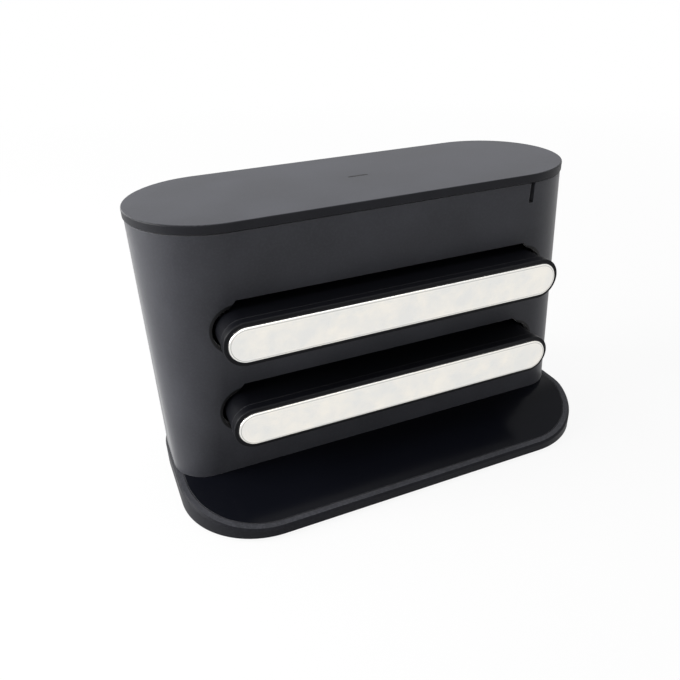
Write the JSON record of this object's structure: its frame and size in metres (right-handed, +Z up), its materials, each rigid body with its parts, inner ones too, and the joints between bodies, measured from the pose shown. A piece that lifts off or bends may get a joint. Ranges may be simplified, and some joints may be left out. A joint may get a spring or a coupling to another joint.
{
  "type": "robot vacuum charging dock",
  "caption": "Slim tower dock for a robot vacuum: round-ended lid, sprung contact bars in the front, ramped base plate and a mains inlet at the rear.",
  "frame": {"origin": "on the floor under the centre of the base", "axes": "+X along the width, -Y towards the vacuum, +Z up"},
  "size_m": [0.15, 0.0752, 0.095],
  "materials": {
    "satin_shell": "satin",
    "satin_lid": "satin",
    "gloss_black": "gloss",
    "light_guide": "translucent",
    "rubber": "matt",
    "contact_metal": "bright",
    "inner_plastic": "matt",
    "steel": "plain",
    "spring_steel": "bright",
    "circuit_board": "satin",
    "ferrite": "matt",
    "copper_tape": "satin",
    "capacitor": "satin",
    "led": "clear",
    "pin_metal": "plated"
  },
  "bodies": {
    "dock": {"tower_shell": "satin_shell", "top_lid": "satin_lid", "light_guide": "light_guide", "base_tray": "satin_shell", "base_deck": "gloss_black", "foot_front_left": "rubber", "foot_front_right": "rubber", "foot_rear_left": "rubber", "foot_rear_right": "rubber", "contact_frame": "inner_plastic", "tower_screws": "steel", "frame_screws": "steel", "power_board": "circuit_board", "board_screws": "steel", "transformer_core": "ferrite", "transformer_winding": "copper_tape", "bulk_capacitor": "capacitor", "output_capacitor": "capacitor", "status_led": "led", "ir_board": "circuit_board", "ir_emitter": "led", "ir_hood": "inner_plastic", "power_inlet": "inner_plastic", "inlet_pins": "pin_metal", "upper_spring": "spring_steel", "lower_spring": "spring_steel"},
    "upper_contact": {"upper_carrier": "gloss_black", "upper_strip": "contact_metal", "upper_retainers": "steel"},
    "lower_contact": {"lower_carrier": "gloss_black", "lower_strip": "contact_metal", "lower_retainers": "steel"}
  },
  "joints": [
    {"name": "upper_contact_slide", "type": "slide", "parent": "dock", "child": "upper_contact", "axis": [0, 1, 0], "range_m": [0, 0.005], "stiffness_N_per_m": 400, "springref_m": -0.003, "deforming": ["upper_spring"]},
    {"name": "lower_contact_slide", "type": "slide", "parent": "dock", "child": "lower_contact", "axis": [0, 1, 0], "range_m": [0, 0.005], "stiffness_N_per_m": 400, "springref_m": -0.003, "deforming": ["lower_spring"]}
  ]
}
